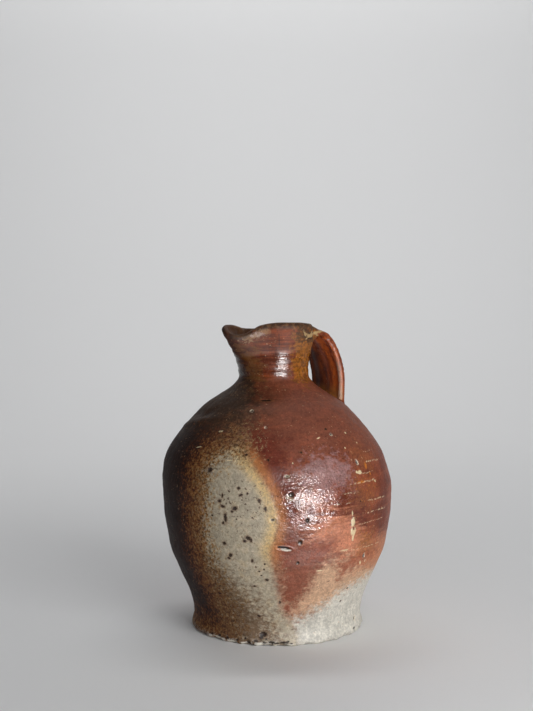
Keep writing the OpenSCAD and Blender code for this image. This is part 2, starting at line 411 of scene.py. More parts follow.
SMEAR, SMEAR_PULL, SMEAR_ROUNDS = 6.0, 0.7, 70
HANDLE_IN, HANDLE_LOW = 5.0, 140.0
points = read(joined.vertices, "co", 3) * 1000.0
pairs = read(joined.edges, "vertices", 2, np.int64)
near_strap = np.flatnonzero((points[:, 0] > HANDLE_IN) & (points[:, 2] > HANDLE_LOW))
away = np.full(len(points), 99.0)
seam_points = points[seam]
for k in near_strap:
    away[k] = np.sqrt(((seam_points - points[k]) ** 2).sum(1).min())
weight = SMEAR_PULL * (1 - rise(away, 0.5, SMEAR))
points = settle(points, pairs, weight, SMEAR_ROUNDS)
print("points smeared:", int((weight > 0).sum()))


# %% Make the skin finer where small marks will be cut
# Direction and height of each mark, half its width along the wall, half its
# height, its depth and, if it has one, its turn in the plane of the wall.
PITS = [
    (278, 125.7, 1.1, 2, 0.9, 12), (238.4, 119.7, 2, 1.1, 0.9, 5), (239.2, 107.7, 2.2, 1.9, 1, 20),
    (230.4, 91.3, 1.9, 1.5, 0.9), (246.4, 90.5, 1.1, 1.4, 0.8, 10), (243.2, 75.7, 1.4, 1.6, 0.6),
    (242.4, 61.7, 1, 1, 0.6), (281.6, 60.5, 1.3, 1.9, 0.9, -20), (276.8, 37.3, 1, 1, 0.8),
    (286.8, 34.9, 1.1, 1.3, 0.9), (274.4, 28.1, 0.8, 0.8, 0.5), (296.8, 9.7, 2, 1.5, 0.9, 30),
    (234, 32.1, 0.8, 0.8, 0.5), (215, 160, 1.5, 0.9, 0.6), (227, 150, 1.4, 1, 0.6), (268, 144.5, 1.2, 1, 0.5),
    (199.6, 122.1, 1.8, 1.6, 0.9, 30), (223.6, 8.1, 2.6, 2, 1), (218.8, 77.7, 2.2, 1.8, 0.5, -40),
    (212.8, 98.1, 1.7, 1.2, 0.4, 20),
]
SLITS = [(235.8, 71.7, 4.4, 1.2, 1.1, -4), (224.5, 166.5, 3.6, 0.6, 0.5, 0)]
FOOT_CHIPS = [
    (176, 1, 6, 2.2, 1), (190, 0.6, 8, 2.4, 1.3), (203, 0.8, 6.5, 1.8, 0.9), (213, 0.5, 5.5, 2.8, 1.5),
    (226, 1.2, 7, 3.6, 2.2), (236, 0.8, 6, 3, 1.6), (251, 0.6, 8, 1.8, 0.9), (268, 0.4, 7, 1.6, 0.8),
    (283, 0.8, 8, 1.8, 1), (294.4, 3, 4, 2, 1.3), (311, 0.6, 7, 2.2, 1.2), (40, 0.8, 7, 2, 1),
    (75, 0.5, 6, 1.8, 0.9), (118, 0.8, 8, 2.4, 1.2), (345, 0.6, 6, 2, 1),
]


def on_skin(a, z):
    """The point of the wall in direction a, at height z, in millimetres."""
    return skin(np.asarray(float(a)), np.asarray(float(z)))


# Edges shorter than SLIVER, in metres, are closed. Faces are then cut in two
# twice over, as far as these multiples of a mark's size reach.
SLIVER = 2e-5
FINER = (1.5, 1.3)
joined.vertices.foreach_set("co", (points / 1000.0).ravel())
bm = bmesh.new()
bm.from_mesh(joined)
bmesh.ops.dissolve_degenerate(bm, dist=SLIVER, edges=bm.edges)
for extra in FINER:
    spots = [(on_skin(a, z), extra * max(wide, tall) + 1.0) for a, z, wide, tall, *_ in PITS + SLITS]
    picked = set()
    centres = np.array([f.calc_center_median()[:] for f in bm.faces]) * 1000.0
    for spot, size in spots:
        picked.update(np.flatnonzero(((centres - spot) ** 2).sum(1) < size**2).tolist())
    bm.faces.ensure_lookup_table()
    cuts = {e for k in picked for e in bm.faces[k].edges}
    bmesh.ops.subdivide_edges(bm, edges=list(cuts), cuts=1, use_grid_fill=True)
bmesh.ops.recalc_face_normals(bm, faces=bm.faces)
for face in bm.faces:
    face.smooth = True
bm.to_mesh(joined)
bm.free()
joined.update()
points = read(joined.vertices, "co", 3) * 1000.0
print("faces after refining:", len(joined.polygons))


# %% Find the direction and the height of every point
def place(points):
    """Direction, plain height, and how far each point lies outside the vessel's skin."""
    z = points[:, 2].copy()
    for _ in range(12):
        cx, cy = middle(z)
        a = np.degrees(np.arctan2(points[:, 1] - cy, points[:, 0] - cx)) % 360
        z = points[:, 2] - taken(z) * wave(turn(a, BEAK_WAY))
    r = np.hypot(points[:, 0] - cx, points[:, 1] - cy)
    return a, z, r, r - (plain_r(np.clip(z, 0, RIM_H)) + rings(z) + taken(z) * drawn(a))


way, height, radius, proud = place(points)
outer = rise(proud, -3.2, -1.0)
on_strap = rise(proud, 1.2, 3.4) * (points[:, 2] > HANDLE_LOW)
print("points on the strap:", int((on_strap > 0.5).sum()), "of", len(points))

# %% [markdown]
# ## Marks in the clay
# Nothing on a thrown pot is quite even. The wheel leaves rings, fingers leave
# dents, and grit that burst in the fire leaves pits with a raised edge. They
# are real relief here, cut into the mesh along its normals, so they also
# show in the outline. The noise behind them is a small lattice of hashed
# numbers, which gives the same answer on every run.


# %% A repeatable noise
HASH = np.array([73856093, 19349663, 83492791])


def grain(p, size, seed=0):
    """Smooth noise from -1 to 1 with lumps of the given size in millimetres."""
    q = p / np.asarray(size, dtype=float) + 100.0 + 17.3 * seed
    cell = np.floor(q).astype(np.int64)
    f = q - cell
    f = f * f * (3 - 2 * f)
    total = np.zeros(len(p))
    for dx in (0, 1):
        for dy in (0, 1):
            for dz in (0, 1):
                h = np.bitwise_xor.reduce((cell + (dx, dy, dz)) * HASH, axis=1)
                h = (h ^ (h >> 13)) * 1274126177 & 0x7FFFFFFF
                h = (h ^ (h >> 16)) % 65536 / 32767.5 - 1.0
                total += h * np.where((dx, dy, dz), f, 1 - f).prod(axis=1)
    return total


FAR = 50


def arc(a, centre):
    """Distance along the wall, in millimetres, from direction centre."""
    return np.radians(turn(a, centre)) * radius


def mark(a, z, wide, tall, roll=0.0):
    """Distance from a mark's middle, as 1 at its edge."""
    x, y = arc(way, a), height - z
    c, s = math.cos(math.radians(roll)), math.sin(math.radians(roll))
    return np.hypot((x * c + y * s) / wide, (y * c - x * s) / tall) + FAR * (outer < 0.5)



# %% Cut the marks
normals = read(joined.vertex_normals, "vector", 3)

# Height of the lumps and their size, in mm, and the seed
UNEVEN = [(0.25, 46, 1), (0.20, 15, 2), (0.13, (70, 70, 3.4), 3), (0.07, (40, 40, 1.7), 4), (0.09, 4.2, 5)]
move = sum(lump * grain(points, size, seed) for lump, size, seed in UNEVEN)
move *= np.where(points[:, 2] < 2.0, 0.3, 1.0) * outer

# Height and depth of the wheel lines on the neck, each with a ridge above it
LINE_WIDE, RIDGE_OFF, RIDGE_WIDE = 0.75, 1.6, 0.9
NECK_LINES = [
    (209, 0.26), (201.4, 0.24), (197.6, 0.42), (194.9, 0.3), (190.1, 0.34), (186.8, 0.2), (183.2, 0.34),
]
for z, depth in NECK_LINES:
    uneven = 0.65 + 0.5 * grain(points, (9, 9, 2.0), 11)
    line_z = height - z - 0.5 * grain(points, 14, 12)
    move -= outer * depth * uneven * (bell(line_z, LINE_WIDE) - 0.5 * bell(line_z - RIDGE_OFF, RIDGE_WIDE))

# Pits and slits have a low raised edge all round
for a, z, wide, tall, depth, *roll in PITS:
    d = mark(a, z, wide, tall, *roll)
    move -= depth * bell(d, 0.75) - 0.18 * bell(d - 1.35, 0.35)
for a, z, wide, tall, depth, *roll in SLITS:
    d = mark(a, z, wide, tall, *roll)
    move -= depth * (1 - rise(d, 0.45, 1.1)) - 0.25 * bell(d - 1.35, 0.3)

# A soft ledge on the shoulder, with a hollow above it and a few notches
LEDGE_A, LEDGE_Z, LEDGE_RISE, LEDGE_WIDE = 166.0, 149.5, 0.19, 24
LEDGE_TALL, HOLLOW_OFF, HOLLOW_TALL = 2.6, 6.0, 3.4
over_ledge = height - LEDGE_Z - LEDGE_RISE * turn(way, LEDGE_A)
lumpy = 1.0 + 0.7 * grain(points, 8, 14)
ledge = bell(over_ledge, LEDGE_TALL) - bell(over_ledge - HOLLOW_OFF, HOLLOW_TALL)
move += lumpy * bell(turn(way, LEDGE_A), LEDGE_WIDE) * outer * ledge
NOTCHES, NOTCH_DEEP = ((156.4, 155.5), (150.8, 143.6), (163.0, 161.0), (305.0, 150.0)), 0.55
for a, z in NOTCHES:
    move -= NOTCH_DEEP * bell(mark(a, z, 6.0, 2.2), 1.0)

# Finger dents, and swellings where the depth is below nought
DENTS = [
    (246.8, 97, 1.8, 8, 0.4), (242.5, 100, 4, 6, -0.25), (251, 100, 5, 6, -0.25), (262, 118, 14, 6, 0.3),
    (226, 60, 11, 9, 0.25), (205, 150, 13, 6, 0.3), (285, 90, 12, 10, 0.3), (213, 128.5, 9, 1.6, 0.3),
    (120, 90, 22, 16, 0.4), (60, 70, 20, 18, 0.35),
]
for a, z, wide, tall, depth in DENTS:
    move -= depth * bell(mark(a, z, wide, tall), 0.9)

DRIP, DRIP_THICK = (270.8, 83.0, 2.3, 9.5), 0.45
move += DRIP_THICK * (1 - rise(mark(*DRIP), 0.5, 1.1))

# The foot's edge is rubbed down unevenly, and chips are bitten out of it
WORN_DEEP = 0.35
toward = np.stack([np.cos(np.radians(way)), np.sin(np.radians(way)), 0 * way], -1)
near_foot = rise(-np.abs(points[:, 2]), -7.0, -0.5) * rise(radius, 50, 58) * (outer > 0.05)
worn = (0.5 + 0.5 * grain(points, (5, 5, 3), 7)) * near_foot
points += normals * move[:, None]
for a, z, wide, tall, depth in FOOT_CHIPS:
    d = np.hypot(arc(way, a) / wide, (points[:, 2] - z) / tall) + FAR * (near_foot < 0.02)
    ragged = 0.75 + 0.35 * grain(points, 2.2, 8)
    bite = depth * (1 - rise(d, 0.35, 1.0)) * ragged
    points -= toward * bite[:, None]
    points[:, 2] += 0.55 * bite * (points[:, 2] < 3.0)
points -= toward * (WORN_DEEP * worn)[:, None]

# The lip is lumpy. The strap is fluted, with a bead along its inner face's edges
LIP_LUMPS, FLUTES, BEAD, BEAD_AT, BEAD_WIDE = 0.22, 0.10, 0.9, 15.8, 1.6
lip = rise(points[:, 2], HEIGHT - 14, HEIGHT - 4)
points += normals * (lip * LIP_LUMPS * grain(points, 4.5, 9))[:, None]
into = -(normals * toward).sum(1)
strap_inner = on_strap * rise(into, -0.2, 0.5)
bead = BEAD * strap_inner * bell(np.abs(points[:, 1]) - BEAD_AT, BEAD_WIDE)
fluting = on_strap * FLUTES * grain(points, (9, 1.6, 9), 10) + bead
points += normals * fluting[:, None]

low, high = (np.array(c) * 1000.0 for c in cad_box)
points = np.clip(points, low, high)
points[:, 2] = np.where(np.abs(points[:, 2]) < 0.12, 0.0, points[:, 2])
joined.vertices.foreach_set("co", (points / 1000.0).ravel())
joined.update()
print("triangles in the jug:", sum(len(p.vertices) - 2 for p in joined.polygons))
print(f"relief from {move.min():.2f} to {move.max():.2f} mm")


# %% [markdown]
# ## Where the fire painted the jug
# A wood kiln colours a pot by itself: flame and ash flow round it, iron in
# the clay turns red where air reached it, and what stood in the shelter of a
# neighbour stays bare and grey. The borders follow no edge of the form, so
# each zone is an outline in direction and height. Its distance in
# millimetres is stored on the points, positive inside. The material turns
# that distance into a border later, soft or ragged as the fire left it.

# %% Distance to a zone's border
DEEPEST, LEAST_RADIUS = 40, 12.0


def zone_distance(corners):
    """Distance from every point to an outline of (direction, height) corners, positive inside."""
    k = np.radians(1.0) * np.maximum(radius, LEAST_RADIUS)
    x, y = turn(way, SEEN_SIDE) * k, height
    best, inside = np.full(len(way), 1e9), np.zeros(len(way), bool)
    for (a0, z0), (a1, z1) in zip(corners, corners[1:] + corners[:1]):
        x0, x1 = (a0 - SEEN_SIDE) * k, (a1 - SEEN_SIDE) * k
        dx, dy = x1 - x0, z1 - z0
        t = np.clip(((x - x0) * dx + (y - z0) * dy) / (dx * dx + dy * dy), 0, 1)
        best = np.minimum(best, np.hypot(x - x0 - t * dx, y - z0 - t * dy))
        crossing = (y < z0) != (y < z1)
        side = x < x0 + (y - z0) * dx / (dy if dy else 1e-9)
        inside ^= crossing & side
    return np.clip(np.where(inside, best, -best), -DEEPEST, DEEPEST)


def tone(r, g, b):
    """A colour as it is seen, 0 to 255, turned into the linear numbers that Blender mixes."""
    c = np.array([r, g, b]) / 255.0
    c = np.where(c <= 0.04045, c / 12.92, ((c + 0.055) / 1.055) ** 2.4)
    return tuple(float(v) for v in c) + (1.0,)


# %% The zones, from the first layer to the last
# Colour, softness and raggedness of the border and size of its ragged lumps
# in mm, strength, and the outline in degrees and mm. The noise is shifted by
# the length of a zone's name, which gives most zones a pattern of their own.
ZONES = {
    "mauve_shoulder": ((124, 68, 48), 12, 9, 7, 0.85, [(236, 178), (226, 160), (236, 142), (262, 130),
        (290, 128), (322, 136), (345, 150), (345, 176), (290, 179)]),
    "orange_glow": ((212, 138, 104), 7, 9, 2.2, 0.82, [(248, 82), (252, 90), (262, 93), (270, 90), (274, 82),
        (279, 71), (283, 62), (271, 61), (258, 65), (249, 68), (245, 73)]),
    "peach": ((204, 164, 132), 10, 8, 3, 1, [(233, 18), (233, 58), (243, 64), (258, 63), (275, 60), (292, 60),
        (308, 60), (322, 58), (350, 52), (352, 24), (300, 30), (262, 20)]),
    "orange_side": ((186, 118, 80), 7, 5, 3, 0.9, [(274, 66), (280, 52), (300, 46), (330, 48), (330, 66),
        (300, 72)]),
    "red_tongue": ((134, 63, 40), 6, 4.6, 2.2, 0.9, [(233.5, 76), (232.8, 60), (234.2, 45), (234.5, 34),
        (236, 26), (239, 23), (243, 27), (246.5, 34), (249.5, 41), (251.5, 50), (255, 58), (260, 66),
        (262, 76)]),
    "red_stroke": ((154, 78, 50), 7, 6, 2.4, 0.85, [(264, 60), (265.5, 54), (267, 48), (271, 50), (278, 55),
        (287, 59), (294, 63), (286, 65), (272, 61)]),
    "pale_foot": ((208, 203, 191), 6, 5, 2.4, 1, [(240, -6), (243, 18), (250, 21), (258, 25), (265, 31),
        (272, 37), (285, 41), (300, 43), (322, 42), (345, 36), (362, 20), (366, -6)]),
    "deep_red": ((106, 43, 28), 6, 6, 2.6, 0.9, [(216, 144), (223, 133), (230, 120), (234.5, 106), (236, 92),
        (241, 92), (243, 104), (241, 120), (236, 134), (228, 144)]),
    # A painted reflection: a soft lilac patch over the belly's highlight, where the window lamp is reflected.
    "ash_bloom": ((166, 132, 132), 6, 9, 3, 0.55, [(246, 125), (252, 130), (262, 131), (272, 123), (269, 112),
        (257, 108), (248, 111)]),
    "bare_clay": ((184, 171, 148), 4, 2.2, 2, 1, [(196, 122), (199, 131), (205, 137), (211, 138), (216, 133.5),
        (221, 127), (226, 118), (229, 109), (231.5, 98), (232, 88), (230.5, 78), (228.5, 70), (229.5, 60),
        (231, 50), (232.5, 38), (235, 26), (240, 18), (246, 8), (244, -6), (196, -6), (193, 8), (190.5, 22),
        (192.5, 40), (194, 60), (195.5, 90)]),
    "smoked_foot": ((104, 72, 42), 13, 16, 2.2, 0.85, [(196, 58), (204, 52), (215, 36), (226, 20), (232, 8),
        (232, -6), (196, -6)]),
    "shoulder_brown": ((96, 56, 36), 14, 10, 4, 0.78, [(190, 150), (200, 145), (208, 143), (216, 147),
        (230, 153), (236, 161), (234, 172), (200, 174)]),
    "neck_shade": ((62, 30, 17), 8, 5, 3, 0.85, [(140, 176), (150, 216), (196, 216), (204, 205), (206, 190),
        (202, 178)]),
    "olive_shoulder": ((56, 37, 22), 12, 11, 3, 0.92, [(112, 184), (108, 142), (150, 142), (182, 146),
        (196, 150), (208, 154), (214, 163), (208, 176), (198, 181)]),
    "ochre_shoulder": ((152, 88, 50), 6, 10, 3, 0.5, [(277, 134), (277, 120), (290, 117), (293, 127),
        (286, 136)]),
    "ochre_upper": ((132, 78, 40), 6, 9, 1.8, 0.42, [(272, 113), (271, 96), (283, 94), (288, 104), (284, 113)]),
    "ochre_lower": ((150, 98, 52), 5, 8, 1.8, 0.5, [(275, 77), (287, 77), (287, 65), (277, 65)]),
    "neck_olive": ((116, 74, 36), 4, 9, 2.4, 0.65, [(190, 179), (216, 179), (214, 191), (205, 202),
        (190, 206)]),
    # Partly wear and partly a painted highlight: a pale patch on the near brim, where the rounded lip catches
    # the light.
    "worn_brim": ((168, 138, 100), 1.6, 3.4, 1.6, 0.55, [(196, 211), (212, 210), (228, 211), (228, 215.5),
        (196, 215.5)]),
    "neck_gold": ((164, 100, 28), 3, 7, 3, 0.8, [(264, 216), (264, 196), (269, 180), (284, 177), (318, 180),
        (330, 200), (330, 216)]),
    "neck_moss": ((60, 42, 22), 2.5, 5, 2, 0.8, [(266, 206), (272, 215), (312, 216), (316, 206), (290, 205)]),
}


def store(name, values):
    """Keep one number a point, for the material to read."""
    layer = joined.attributes.get(name) or joined.attributes.new(name, "FLOAT", "POINT")
    layer.data.foreach_set("value", np.asarray(values, dtype=np.float32))


def around(a, wide):
    """1 in direction a, falling off to both sides."""
    return bell(turn(way, a), wide)


def patch(a, wide, z, tall):
    """1 at one place of the wall, falling off all round."""
    return around(a, wide) * bell(height - z, tall)


# The smoke, and the direction on the hidden side round which it ends
SMOKE = [
    (64, -6), (64, 172), (150, 174), (188, 172), (202, 165), (208, 156), (212, 147), (216, 139), (217, 133.5),
    (213, 135), (208, 134), (203, 130), (199, 121), (197, 90), (198, 66), (201, 48), (205, 30), (208, 10),
    (210, -6),
]
SMOKE_END = 112
for name, corners in [(name, zone[-1]) for name, zone in ZONES.items()] + [("smoke", SMOKE)]:
    store(name, np.where(outer > 0.3, zone_distance(corners), -DEEPEST))
store("smoke_end", np.clip(turn(way, SMOKE_END), -60, 60))
bare, past_smoke = zone_distance(ZONES["bare_clay"][-1]), turn(way, 200)
upper = rise(height, 50, 74) * outer
store("yellow_rim", bell(bare - 1.8, 4.6) * rise(past_smoke, 2, 16) * upper)
store("rust_rim", bell(bare + 4.0, 3.4) * rise(past_smoke, 12, 24) * upper)
store("neck", rise(height, 178.0, 181.5) * outer)
store("shiny", patch(250, 20, 101, 22) * outer)
store("iron_shower", np.clip(patch(216, 17, 103, 17) + 0.5 * patch(215, 16, 62, 26), 0, 1) * outer)
store("lip", rise(points[:, 2] - (RIM_H + wave(turn(way, BEAK_WAY))), -2.6, 0.6) * (1 - on_strap))
# Painted shade: the lip round the beak, on the side away from the lamp, is made darker.
store("beak_side_shade", around(176, 26) * (1 - on_strap))
store("inside", 1 - outer)
store("strap", on_strap)
store("strap_inner", strap_inner)
# A painted highlight: a pale line along the near edge of the strap's inner face, where the lamp glints on it.
store("strap_edge_highlight", strap_inner * bell(points[:, 1] + 15.9, 1.1) * rise(points[:, 2], 150, 160)
      * (1 - rise(points[:, 2], 184, 196)))
# Painted shade: the far half of the strap's inner face is made darker, where the neck shadows it.
store("strap_far_shade", 0.85 * rise(points[:, 1] + 0.14 * (200 - points[:, 2]), -7.0, 9.0) * on_strap)
store("foot", (1 - rise(points[:, 2] + 1.6 * grain(points, 7, 13), 1.6, 4.6)) * outer)
store("crust_front", (0.3 + 0.7 * around(215, 26)) * outer)
store("height", height)
# Painted shade: how deep the relief is cut in, to darken pits, dents and wheel lines.
store("hollow", np.clip(-move, 0, 2) * (outer > 0.5))
print("zones painted:", len(ZONES))

# %% [markdown]
# ## The fired surface
# One material carries all zones. It is built the way the kiln worked: first
# the brown-red body, then each zone over it, then the small things on top,
# such as iron spots, burst grit, cream dribbles and worn edges. A zone's
# factor is its distance plus noise, pushed through a smooth step, so a small
# lump size gives a speckled border and a large one a cloudy border.

# %% Helpers that place nodes
clay = bpy.data.materials.new("flashed_stoneware")
clay.use_nodes = True
nodes, links = clay.node_tree.nodes, clay.node_tree.links
nodes.clear()


def node(kind, inputs=(), **settings):
    """A new node with its settings, and its inputs linked or set in order."""
    n = nodes.new("ShaderNode" + kind)
    for key, value in settings.items():
        setattr(n, key, value)
    for socket, value in (inputs.items() if isinstance(inputs, dict) else enumerate(inputs)):
        if isinstance(value, bpy.types.NodeSocket):
            links.new(value, n.inputs[socket])
        elif value is not None:
            n.inputs[socket].default_value = value
    return n


def maths(way_of, *values):
    """One sum of numbers or factors."""
    return node("Math", values, operation=way_of).outputs[0]


def times(one, two):
    return maths("MULTIPLY", one, two)


def step(value, low, high, least=0.0, most=1.0):
    """least below low, most above high, smooth between."""
    return node("MapRange", (value, low, high, least, most), interpolation_type="SMOOTHSTEP").outputs[0]


def stored(name):
    """A number kept on the points."""
    return node("Attribute", attribute_name=name).outputs["Fac"]


def over(below, colour, factor):
    """One colour laid over another."""
    return node("Mix", {0: factor, 6: below, 7: colour}, data_type="RGBA").outputs[2]


def painted(below, paint, factor, share=None):
    """A colour laid on where a factor says, and as strongly as a share of it says."""
    if share is not None:
        factor = times(factor, share)
    return over(below, tone(*paint), factor)


def centred(factor, spread):
    """A factor from 0 to 1, spread evenly round nought."""
    return maths("MULTIPLY_ADD", factor, spread, -spread / 2)


def noise(size, detail=3.0, rough=0.55, stretch=(1, 1, 1), shift=0.0):
    """Noise from 0 to 1 with lumps of the given size in millimetres."""
    at = node("Mapping", {"Vector": object_place, "Location": (shift, shift * 2, -shift),
                          "Scale": tuple(1000.0 / (size * s) for s in stretch)}).outputs[0]
    return node("TexNoise", {"Vector": at, "Scale": 1.0, "Detail": detail, "Roughness": rough}).outputs[0]


object_place = node("TexCoord").outputs["Object"]
here = node("VectorMath", (object_place, (1000.0, 1000.0, 1000.0)), operation="MULTIPLY").outputs[0]

# %% The brown-red body
cloudy, mottled, fine_mottle = noise(22, 4), noise(6, 4, 0.6, shift=5), noise(2.0, 3, 0.6, shift=9)
turned = noise(2.6, 4, 0.6, stretch=(16, 16, 1), shift=3)
streaks = noise(1.1, 3, 0.6, stretch=(9, 9, 1), shift=13)
colour = over(tone(110, 51, 33), tone(144, 73, 46), step(cloudy, 0.38, 0.62))
colour = painted(colour, (96, 42, 30), step(mottled, 0.55, 0.75, 0.0, 0.55))
colour = painted(colour, (160, 92, 58), step(turned, 0.55, 0.75, 0.0, 0.4))
neck = stored("neck")
neck_clay = over(tone(142, 66, 30), tone(90, 37, 15), step(turned, 0.40, 0.60))
colour = over(colour, neck_clay, times(neck, 0.9))


# %% Lay the zones over it
# Depth into the smoke in mm, and its colour there, from the bare clay outward
SMOKE_COLOURS = [(0, (166, 138, 98)), (5, (150, 108, 62)), (13, (124, 75, 34)), (20, (76, 36, 13)),
                 (26, (42, 18, 9)), (30, (28, 11, 6))]
SMOKE_DEEP = SMOKE_COLOURS[-1][0]

# How many times as long as tall a zone's ragged lumps are
STREAKY = {"orange_glow": 7.0, "ochre_upper": 5.0, "neck_olive": 4.0, "mauve_shoulder": 3.0, "orange_side": 4.0}
PLAIN_STREAK = 1.5


def laid(name, soft, ragged, size, strength):
    """How much of a zone covers each place."""
    along = STREAKY.get(name, PLAIN_STREAK)
    lumps = centred(noise(size, 4, 0.65, stretch=(along, along, 1), shift=len(name)), 5 * ragged)
    return step(maths("ADD", stored(name), lumps), -soft, soft, 0.0, strength)


covers = {}
for name, (paint, soft, ragged, size, strength, _) in ZONES.items():
    covers[name] = laid(name, soft, ragged, size, strength)
    colour = painted(colour, paint, covers[name])
    if name == "bare_clay":
        colour = painted(colour, (172, 152, 120), covers[name], step(mottled, 0.5, 0.72, 0.0, 0.55))
        colour = painted(colour, (216, 182, 122), stored("yellow_rim"), step(fine_mottle, 0.25, 0.6, 0.5, 0.9))
        colour = painted(colour, (190, 118, 66), stored("rust_rim"), 0.78)
        smoke_depth = maths("ADD", stored("smoke"), centred(noise(1.9, 3, 0.7, shift=17), 70.0))
        smoke_depth = maths("ADD", smoke_depth, step(mottled, 0.3, 0.7, -4.0, 4.0))
        far_end = maths("ADD", stored("smoke_end"), centred(mottled, 90.0))
        smoke = times(step(smoke_depth, -9.0, 5.0), step(far_end, -20.0, 14.0))
        ramp = node("ValToRGB", (maths("DIVIDE", smoke_depth, SMOKE_DEEP),))
        stops = ramp.color_ramp.elements
        for k, (deep, paint) in enumerate(SMOKE_COLOURS):
            stop = stops[k] if k < 2 else stops.new(deep / SMOKE_DEEP)
            stop.position, stop.color = deep / SMOKE_DEEP, tone(*paint)
        colour = over(colour, ramp.outputs[0], times(smoke, 0.96))


def shaded(below, factor, dark, pale):
    """The colour below made darker or paler where the factor says."""
    grey = step(factor, 0.25, 0.75, dark, pale)
    return node("Mix", {0: 1.0, 6: below, 7: grey}, data_type="RGBA", blend_type="MULTIPLY").outputs[2]


colour = shaded(colour, turned, 0.93, 1.06)
colour = shaded(colour, fine_mottle, 0.80, 1.16)
colour = shaded(colour, noise(1.2, 2, 0.6, shift=181), 0.86, 1.13)
colour = shaded(colour, mottled, 0.84, 1.12)
print("layers of colour:", len(ZONES))


# %% Lip, handle and inside
crust = noise(2.0, 4, 0.65, shift=21)
lip_clay = over(tone(56, 36, 22), tone(112, 82, 54), step(noise(3.2, 4, 0.65, shift=221), 0.44, 0.62))
# Painted shade: the lip darker round the beak, away from the lamp
lip_clay = painted(lip_clay, (42, 26, 16), stored("beak_side_shade"), 0.85)
colour = over(colour, lip_clay, times(stored("lip"), step(crust, 0.30, 0.55, 0.35, 0.95)))
rust = over(tone(146, 74, 44), tone(108, 46, 26), step(noise(5, 4, shift=31), 0.42, 0.66))
rust = painted(rust, (176, 104, 52), step(streaks, 0.56, 0.74, 0.0, 0.5))
# Painted light: the strap's inner face is a brighter orange than the rest of the strap, for light that the
# lamps don't bring there.
lit_and_shaded_inner_face = over(tone(204, 100, 32), tone(140, 60, 20), step(noise(5, 4, 0.6, (1, 1, 3), 41), 0.42, 0.62))
# Painted shade on the far half of the inner face, in the neck's shadow
lit_and_shaded_inner_face = painted(lit_and_shaded_inner_face, (64, 26, 12), stored("strap_far_shade"))
lit_and_shaded_inner_face = painted(lit_and_shaded_inner_face, (180, 122, 62), step(stored("height"), 176.0, 164.0, 0.0, 0.85))
rust = over(rust, lit_and_shaded_inner_face, stored("strap_inner"))
# A painted highlight along the near edge of the strap's inner face
rust = painted(rust, (214, 180, 156), stored("strap_edge_highlight"), step(crust, 0.30, 0.50, 0.35, 0.95))
colour = over(colour, rust, stored("strap"))
colour = over(colour, over(tone(104, 70, 44), tone(78, 50, 32), step(cloudy, 0.4, 0.6)), stored("inside"))

# %% [markdown]
# ## Small marks of the fire
# Iron specks melt into dark beads, grit pops and leaves a pit with a pale
# ring, and glaze dribbles in cream lines along the throwing grooves. A pink
# sheen on the near brim and one pale ring, low on the left of a pit, are
# painted highlights. Each one is a dab: a small ellipsoid set on the wall at
# its own place and turned along it. A Vector Rotate node turned backwards
# brings any point into the dab's own frame, where its edge lies at distance
# 1, so one short chain of nodes draws a crisp speck at any size, with a
# little noise in its edge.

# %% Dabs
# In each list: direction, height, half the width, half the height and, if it
# has one, the turn, in degrees and mm. A cream line has its thickness last.
# A root mark has its place in x, y and z first, because it sits on the strap.
wobbly = noise(0.9, 3, 0.6, shift=51)


def dab_distance(a, z, wide, tall, roll=0.0, deep=6.0, ragged=0.5, centre=None):
    """Distance to a dab's middle, 1 at its edge. The middle is on the wall, if no other is given."""
    centre = on_skin(a, z) if centre is None else np.array(centre)
    across = node("VectorRotate", {"Vector": here, "Center": tuple(centre.tolist()),
                                   "Rotation": (0.0, -math.radians(roll), math.radians(a + 90))},
                  rotation_type="EULER_XYZ", invert=True).outputs[0]
    size = np.array([wide, deep, tall])
    at = node("VectorMath", (across, tuple((1 / size).tolist()), tuple((-centre / size).tolist())),
              operation="MULTIPLY_ADD").outputs[0]
    away = node("VectorMath", (at,), operation="LENGTH").outputs["Value"]
    return maths("MULTIPLY_ADD", maths("SUBTRACT", wobbly, 0.5), 2 * ragged, away)


def most(values):
    """The greatest of several factors."""
    total = values[0]
    for value in values[1:]:
        total = maths("MAXIMUM", total, value)
    return total


